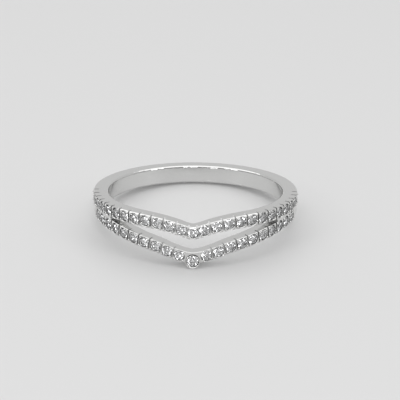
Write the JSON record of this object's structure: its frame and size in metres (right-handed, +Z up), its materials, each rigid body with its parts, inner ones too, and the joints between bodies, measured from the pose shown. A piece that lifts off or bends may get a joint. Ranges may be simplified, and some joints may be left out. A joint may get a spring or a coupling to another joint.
{
  "type": "chevron ring",
  "caption": "Finger ring in polished white metal whose plain band splits into two V rails, each set with a row of small round stones.",
  "frame": {"origin": "middle of the ring's outline on the surface it lies on", "axes": "+Z up; the ring lies on its side, its V tips towards -Y, its plain band towards +Y; the finger hole leans back by 8.8 degrees from +Z"},
  "size_m": [0.0204, 0.021, 0.0047],
  "materials": {
    "white_metal": "polished",
    "stone": "clear, faceted"
  },
  "bodies": {
    "root": {"ring_body": "white_metal", "tip_stone": "stone", "upper_stone_left_12": "stone", "upper_stone_left_11": "stone", "upper_stone_left_10": "stone", "upper_stone_left_9": "stone", "upper_stone_left_8": "stone", "upper_stone_left_7": "stone", "upper_stone_left_6": "stone", "upper_stone_left_5": "stone", "upper_stone_left_4": "stone", "upper_stone_left_3": "stone", "upper_stone_left_2": "stone", "upper_stone_left_1": "stone", "upper_stone_middle": "stone", "upper_stone_right_1": "stone", "upper_stone_right_2": "stone", "upper_stone_right_3": "stone", "upper_stone_right_4": "stone", "upper_stone_right_5": "stone", "upper_stone_right_6": "stone", "upper_stone_right_7": "stone", "upper_stone_right_8": "stone", "upper_stone_right_9": "stone", "upper_stone_right_10": "stone", "upper_stone_right_11": "stone", "upper_stone_right_12": "stone", "lower_stone_left_10": "stone", "lower_stone_left_9": "stone", "lower_stone_left_8": "stone", "lower_stone_left_7": "stone", "lower_stone_left_6": "stone", "lower_stone_left_5": "stone", "lower_stone_left_4": "stone", "lower_stone_left_3": "stone", "lower_stone_left_2": "stone", "lower_stone_left_1": "stone", "lower_stone_right_1": "stone", "lower_stone_right_2": "stone", "lower_stone_right_3": "stone", "lower_stone_right_4": "stone", "lower_stone_right_5": "stone", "lower_stone_right_6": "stone", "lower_stone_right_7": "stone", "lower_stone_right_8": "stone", "lower_stone_right_9": "stone", "lower_stone_right_10": "stone"}
  },
  "joints": []
}
